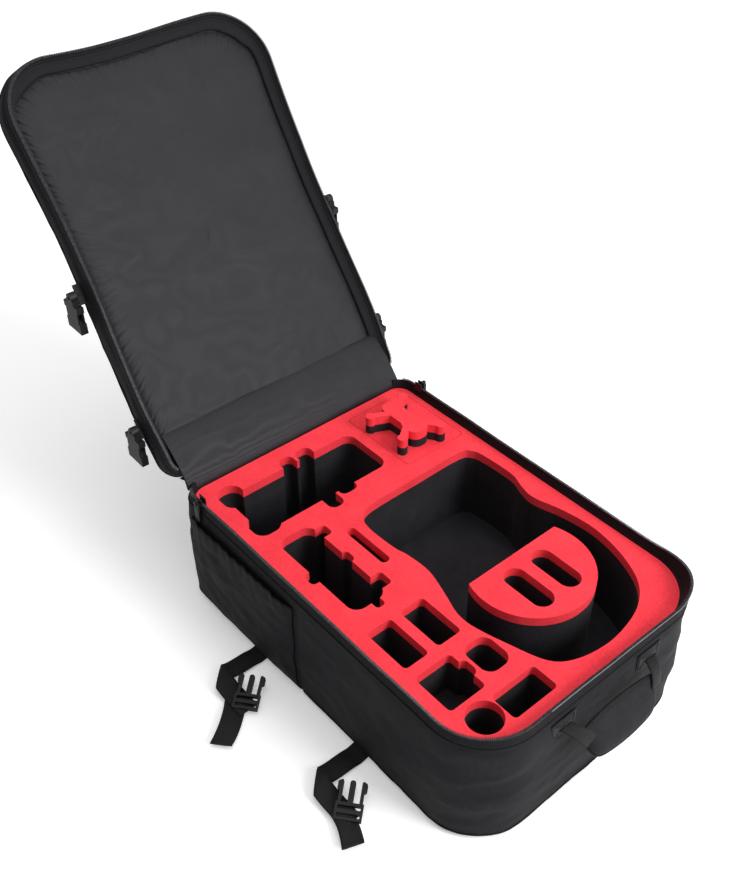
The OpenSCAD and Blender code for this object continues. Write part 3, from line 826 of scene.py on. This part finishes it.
def make_hinge_cloth():
    """Two sheets of cloth from the bag's hinge end to the open lid, shaped for its open angle."""
    c, s = math.cos(LID_OPEN), math.sin(LID_OPEN)

    def on_lid(x, z):
        dx, dz = x - HINGE[0], z - HINGE[2]
        return HINGE[0] + dx * c - dz * s, HINGE[2] + dx * s + dz * c

    # Profiles as x and z: the inner sheet bows slightly between the foam and the lid's lining
    end = -HALF_L
    low = np.array([end + 5.0, WALL_Z + 3.0])
    top = np.array(on_lid(end + 52, LID_LINING_Z - 4.2))
    across = np.array([top[1] - low[1], low[0] - top[0]]) / np.linalg.norm(top - low)
    inner = [(end + 6.7, WALL_Z - 12), (end + 6.3, WALL_Z - 3)]
    inner += [low + (top - low) * t + across * 2.4 * math.sin(math.pi * t) for t in np.linspace(0, 1, 7)]
    inner += [on_lid(end + 58, LID_LINING_Z + 0.5)]
    outer = [(end - 0.3, WALL_Z - 4), (end - 0.9, WALL_Z + 4)]
    outer += [(end - 2.6, TEETH_Z - 4), (end - 4.6, TEETH_Z)]
    outer += [on_lid(end - 2.4, LID_TEETH_Z + 3), on_lid(end - 0.6, LID_SEAM_Z)]
    outer += [on_lid(end - 0.2, LID_SEAM_Z + 5)]
    ys = np.linspace(-HINGE_HALF - 17, HINGE_HALF + 17, 110)
    for name, points, slot, material, nodes in (
        ("hinge_lining", inner, "lining_fabric", LINING_CLOTH, ("lid_hinge_flap",)),
        ("hinge_cover", outer, "shell_fabric", BLACK_CLOTH, ("hinge_fabric",)),
    ):
        rings = []
        for k, (x, z) in enumerate(points):
            soft = ridges(np.c_[ys, np.full(len(ys), k * 9.0), np.zeros(len(ys))], (60, 30, 1), 3.0)
            amount = 0.2 if k in (0, 1, 2, len(points) - 1) else 1.0
            rings.append(np.c_[x + soft * amount * 0.6, ys, z + soft * amount * 0.4])
        obj = loft(name, rings)
        smooth_sheet(obj, 0.8, 0, levels=2)
        paint(obj, material)
        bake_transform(obj)
        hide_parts(*nodes)


# ---- straps, handle, hardware ----

WEB_W = 25.0
WEB_T = 1.6
STRAP_REACH = 64.0
# For each strap: where it leaves the bag, its name, and its tail's length and angle in degrees
STRAPS = ((-103.0, "back", 70, 40), (82.0, "front", 54, 12))


def fold_strip(x, side):
    """A strap that runs out over the ground and is folded square towards the handle end."""
    fold_radius = 2.0
    half_turn = math.pi * fold_radius
    along = np.linspace(-4, STRAP_REACH + 62, 90)
    across = np.linspace(-WEB_W / 2, WEB_W / 2, 11)
    a, b = np.meshgrid(across, along)
    past_fold = ((b - STRAP_REACH) + a) / math.sqrt(2)
    s = past_fold + half_turn / 2
    turn = np.clip(s / fold_radius, 0, math.pi)
    folded = np.where(s < 0, s, np.where(s > half_turn, half_turn - s, fold_radius * np.sin(turn)))
    shift = (folded - past_fold) / math.sqrt(2)
    lift = 5.5 * np.exp(-(((b - STRAP_REACH) / 26) ** 2))
    lift += 1.6 * np.sin(b / 14.0) ** 2 * smoothstep(0, 20, b) + 2.5 * smoothstep(12, -4, b)
    z = WEB_T / 2 + 0.3 + fold_radius * (1 - np.cos(turn)) + lift
    return np.stack([x - (a + shift), side * (HALF_W + b + shift), z], -1), a, b


def strip_mesh(name, centre, a, b, flip):
    """A strap with two faces from a grid of centre points; a runs across it and b along it."""
    rows, cols = a.shape
    nrm = np.cross(np.gradient(centre, axis=1), np.gradient(centre, axis=0))
    nrm /= np.linalg.norm(nrm, axis=2)[:, :, None]
    edge = np.sqrt(np.clip(1 - np.abs(a / (WEB_W / 2)) ** 8, 0.15, 1))[:, :, None]
    top = centre + nrm * edge * WEB_T / 2
    low = centre - nrm * edge * WEB_T / 2
    loop = np.concatenate([top, low[:, ::-1]], 1)
    uv_a = np.concatenate([a, a[:, ::-1]], 1)
    uv_b = np.concatenate([b, b[:, ::-1]], 1)
    faces = grid_faces(rows, 2 * cols, wrap_cols=True)
    faces += [tuple(reversed(range(2 * cols))), tuple(range((rows - 1) * 2 * cols, rows * 2 * cols))]
    obj = new_mesh(name, loop.reshape(-1, 3), faces, np.stack([uv_b, uv_a], -1).reshape(-1, 2))
    if flip:
        obj.data.flip_normals()
    return obj


def make_straps():
    """Four compression straps on the ground, each folded and with a tail past its buckle."""
    for side, label in SIDES:
        for x, end, length, turn in STRAPS:
            grid, a, b = fold_strip(x, side)
            obj = strip_mesh(f"strap_{label}_{end}_web", grid, a, b, side > 0)
            nodes = (f"strap_{label}",) if end == "back" else ()
            finish_piece(obj, WEBBING, "case", "webbing", *nodes)
            t = np.linspace(0, 1, 30)
            run = 2 + length * t
            slope = math.radians(turn) + 0.22 * (t - 0.4)
            path = np.c_[
                x + 30 + run * np.cos(slope),
                side * (HALF_W + STRAP_REACH + run * np.sin(slope)),
                1.2 + 3.4 * np.sin(math.pi * t) + 6 * t ** 3,
            ]
            wide = unit_rows(np.c_[-np.sin(slope), side * np.cos(slope), 0.25 * np.sin(3 * t)])
            tail = ribbon(f"strap_{label}_{end}_tail", path, wide, WEB_W, WEB_T)
            finish_piece(tail, WEBBING, "case", "webbing")


def bevelled(node, name, material, body, slot, width=0.7):
    """A moulded part: the CAD node's own shape with its edges rounded."""
    source = frame["nodes"][node]
    obj = bpy.data.objects.new(name, source.data.copy())
    bpy.context.scene.collection.objects.link(obj)
    modify(obj, "WELD", merge_threshold=0.00002)
    modify(obj, "BEVEL", width=width * MM, segments=2, angle_limit=math.radians(35))
    apply_all(obj)
    obj.data.shade_smooth()
    modify(obj, "WEIGHTED_NORMAL")
    finish_piece(obj, material, body, slot, node)


def make_hardware():
    """Buckle halves, sliders and pull tabs; each CAD node has the name of its body."""
    for _, side in SIDES:
        for end in ("back", "front"):
            for node, piece in (("buckle", "prong_half"), ("clip", "socket_half")):
                body = f"{node}_{side}_{end}"
                bevelled(body, f"{piece}_{side}_{end}", PLASTIC, body, "buckle_plastic")
        slider, pull = f"slider_{side}", f"pull_{side}"
        bevelled(slider, f"slider_body_{side}", SLIDER_METAL, slider, "slider_metal", 0.35)
        bevelled(pull, f"pull_tab_{side}", PULL_PLASTIC, pull, "pull_plastic", 0.4)
    paint(frame["nodes"]["lid_tabs"], WEBBING)


PUFF_FRAMES = 20


def puff(obj, pressure, cap):
    """Swells a padded piece with a short cloth simulation; no point moves more than cap, in mm."""
    scene = bpy.context.scene
    scene.frame_start, scene.frame_end = 1, PUFF_FRAMES
    mesh = obj.data
    rest = np.empty(len(mesh.vertices) * 3)
    mesh.vertices.foreach_get("co", rest)
    cloth = obj.modifiers.new("puff", "CLOTH")
    cloth.settings.use_pressure = True
    cloth.settings.uniform_pressure_force = pressure
    cloth.settings.effector_weights.gravity = 0
    cloth.point_cache.frame_end = PUFF_FRAMES
    for step in range(1, PUFF_FRAMES + 1):
        scene.frame_set(step)
    swollen = obj.evaluated_get(bpy.context.evaluated_depsgraph_get())
    puffed = np.empty_like(rest)
    swollen.data.vertices.foreach_get("co", puffed)
    move = (puffed - rest).reshape(-1, 3)
    length = np.linalg.norm(move, axis=1)
    move *= np.minimum(1, cap * MM / np.maximum(length, 1e-9))[:, None]
    obj.modifiers.remove(cloth)
    mesh.vertices.foreach_set("co", rest + move.ravel())
    mesh.update()
    scene.frame_set(1)


def make_handle():
    """Padded hand strap with a curved free edge, hanging from two webbing loops."""
    ga, gb = np.meshgrid(np.linspace(-1, 1, 81), np.linspace(0, 1, 27))
    inner = 11 + 3 * ga ** 2
    outer = 57 - 7 * ga ** 2 - 20 * np.abs(ga) ** 12
    reach = inner + (outer - inner) * gb
    y = ga * (HANDLE_SPAN / 2 - 11) * (1 - 0.05 * gb ** 2)
    droop = np.radians(34 + 20 * gb)
    cx = HANDLE[0] + reach * np.cos(droop)
    cz = HANDLE[2] - reach * np.sin(droop) + 3.0 * (1 - ga ** 2)
    nx, nz = np.sin(droop), np.cos(droop)
    rim = np.clip(1 - np.abs(2 * gb - 1) ** 5, 0, 1) ** 0.5 * np.clip(1 - np.abs(ga) ** 14, 0, 1) ** 0.5
    p3 = np.c_[y.ravel(), reach.ravel(), np.zeros(y.size)]
    soft = (ridges(p3, (34, 26, 1), 7.0) * 0.7 + fbm(p3, (60, 40, 1), 3.3) * 0.8).reshape(y.shape)
    thick = (3.1 + soft) * rim + 0.5
    up = np.stack([cx + nx * thick, y, cz + nz * thick], -1)
    down = np.stack([cx - nx * thick, y, cz - nz * thick], -1)
    loop = np.concatenate([up, down[::-1]], 0)
    obj = loft("hand_strap", list(loop), wrap_rows=True)
    obj.data.flip_normals()
    puff(obj, pressure=4.0, cap=1.5)
    modify(obj, "SUBSURF", levels=1, render_levels=1)
    apply_all(obj)
    finish_piece(obj, PADDED_CLOTH, "handle", "padded_fabric", "handle_grip")
    edge = np.stack([cx[-1] + 0.3, y[-1], cz[-1]], -1)
    finish_piece(tube("hand_strap_cord", edge, 1.9, 10), TAPE_CLOTH, "handle", "trim_tape")
    top = np.stack([cx[2] + nx[2] * (thick[2] + 0.15), y[2], cz[2] + nz[2] * (thick[2] + 0.15)], -1)
    row = stitches("hand_strap_stitches", top[3:-3], np.array([0.5, 0, 0.8]))
    finish_piece(row, THREAD, "handle", "trim_tape")
    t = np.linspace(0, 1, 18)
    for s, label in SIDES:
        start = np.array([HANDLE[0] + 1.4, s * HANDLE_SPAN / 2, HANDLE[2] - 1.5])
        stop = np.array([HANDLE[0] + 24, s * (HANDLE_SPAN / 2 - 15), HANDLE[2] - 16])
        path = start + (stop - start) * t[:, None]
        path[:, [0, 2]] += 3.5 * np.sin(math.pi * t)[:, None]
        wide = unit_rows(np.c_[-0.1 * t, np.ones(len(t)), -s * 0.35 * t])
        nodes = ("handle_webbing",) if s < 0 else ()
        loop = ribbon(f"handle_loop_{label}", path, wide, 17, 1.8)
        finish_piece(loop, WEBBING, "handle", "webbing", *nodes)


def make_patches():
    """Webbing patches that anchor the handle, with a boxed cross of stitches."""
    z = np.linspace(HANDLE[2] - 18, HANDLE[2] + 10, 12)
    box = [(-15, -15), (15, -15), (15, 7), (-15, 7), (-15, -15), (15, 7), (15, -15), (-15, 7)]
    for s, label in SIDES:
        y0 = s * HANDLE_SPAN / 2
        path = np.c_[np.full(len(z), HALF_L + 2.6), np.full(len(z), y0), z]
        wide = np.tile([0.0, 1.0, 0.0], (len(z), 1))
        obj = ribbon(f"handle_patch_{label}", path, wide, 36, 1.4)
        nodes = ("handle_patches",) if s < 0 else ()
        finish_piece(obj, WEBBING, "case", "webbing", *nodes)
        path = np.array([(HALF_L + 3.5, y0 + u, HANDLE[2] + v) for u, v in box])
        row = stitches(f"handle_cross_{label}", path, np.array([1.0, 0, 0]), 2.6, 1.9, 0.5)
        finish_piece(row, THREAD, "case", "trim_tape")


# ---- foam ----


def make_foam():
    """The CAD foam and the lining and padding round it keep their shapes and get materials."""
    red = ("foam_top", "island_top", "cover_top", "grip_top")
    black = ("back_padding", "foam_base", "foam_low", "foam_mid", "island_core", "cover_core", "grip_core")
    for material, nodes in ((FOAM_RED, red), (FACING_CLOTH, ("body_lining",)), (FOAM_BLACK, black)):
        for node in nodes:
            paint(frame["nodes"][node], material)


# ---- stage, lights and camera ----


def area_light(name, place, target, size, power):
    light = bpy.data.lights.new(name, "AREA")
    light.shape = "RECTANGLE"
    light.size, light.size_y = size
    light.energy = power
    obj = bpy.data.objects.new(name, light)
    obj.location = place
    obj.rotation_euler = (Vector(target) - Vector(place)).to_track_quat("-Z", "Y").to_euler()
    bpy.context.scene.collection.objects.link(obj)


FLOOR_HALF = 40.0


def make_stage():
    """A pale floor that the camera sees fade to white, a white surround and three soft lights."""
    floor = bpy.data.meshes.new("floor")
    corners = [(x * FLOOR_HALF, y * FLOOR_HALF, 0) for x, y in ((-1, -1), (1, -1), (1, 1), (-1, 1))]
    floor.from_pydata(corners, [], [(0, 1, 2, 3)])
    obj = bpy.data.objects.new("studio_floor", floor)
    bpy.context.scene.collection.objects.link(obj)
    obj.location.z = -0.0005
    m = Nodes("studio_floor")
    m.put(Base_Color=(0.93, 0.93, 0.93, 1), Roughness=0.9, Specular_IOR_Level=0.1)
    m.put(Emission_Color=(1, 1, 1, 1))
    path = m.add("ShaderNodeLightPath")
    far = m.add("ShaderNodeVectorMath", operation="LENGTH")
    m.link(m.add("ShaderNodeTexCoord").outputs["Object"], far.inputs[0])
    glow = m.add("ShaderNodeMapRange")
    m.link(far.outputs["Value"], glow.inputs["Value"])
    for name, value in (("From Min", 1.0), ("From Max", 3.5), ("To Min", 0.3), ("To Max", 0.72)):
        glow.inputs[name].default_value = value
    lit = m.math("MULTIPLY", path.outputs["Is Camera Ray"], glow.outputs[0])
    m.link(lit, m.shader.inputs["Emission Strength"])
    floor.materials.append(m.mat)
    world = bpy.data.worlds.new("studio")
    world.use_nodes = True
    tree = world.node_tree
    tree.nodes["Background"].inputs["Color"].default_value = (1, 1, 1, 1)
    rays = tree.nodes.new("ShaderNodeLightPath")
    level = tree.nodes.new("ShaderNodeMapRange")
    level.inputs["To Min"].default_value = 0.36
    level.inputs["To Max"].default_value = 1.0
    tree.links.new(rays.outputs["Is Camera Ray"], level.inputs["Value"])
    tree.links.new(level.outputs[0], tree.nodes["Background"].inputs["Strength"])
    bpy.context.scene.world = world
    area_light("key", (2.2, 0.75, 1.55), (0, 0, 0.15), (1.2, 1.2), 69)
    area_light("top", (0.2, 0.3, 2.6), (0, 0, 0.1), (2.4, 2.4), 35)
    area_light("rim", (-0.6, 2.2, 1.8), (0, 0, 0.15), (1.4, 1.0), 14)
    bpy.context.scene.view_settings.view_transform = "Standard"


def make_camera():
    """Camera at the photograph's angle, looking down on the open bag from its near front corner."""
    azimuth, elevation, roll = math.radians(49.66), math.radians(39.87), math.radians(-0.31)
    level = math.cos(elevation)
    back = Vector((math.sin(azimuth) * level, -math.cos(azimuth) * level, math.sin(elevation)))
    right = Vector((math.cos(azimuth), math.sin(azimuth), 0))
    up = back.cross(right)
    turned = right * math.cos(roll) + up * math.sin(roll)
    matrix = Matrix((turned, back.cross(turned), back)).transposed().to_4x4()
    matrix.translation = Vector((0.6105, -0.6057, 1.0047))
    data = bpy.data.cameras.new("camera")
    data.sensor_fit = "VERTICAL"
    data.sensor_height = 36
    data.lens = 43.2
    data.shift_y = 0.015
    obj = bpy.data.objects.new("camera", data)
    obj.matrix_world = matrix
    bpy.context.scene.collection.objects.link(obj)
    bpy.context.scene.camera = obj


make_camera()
make_stage()
make_body_shell()
make_rim()
make_body_trim()
make_pockets()
make_lid_shell()
make_lid_rim()
make_lid_lining()
make_hinge_cloth()
make_straps()
make_hardware()
make_handle()
make_patches()
make_foam()
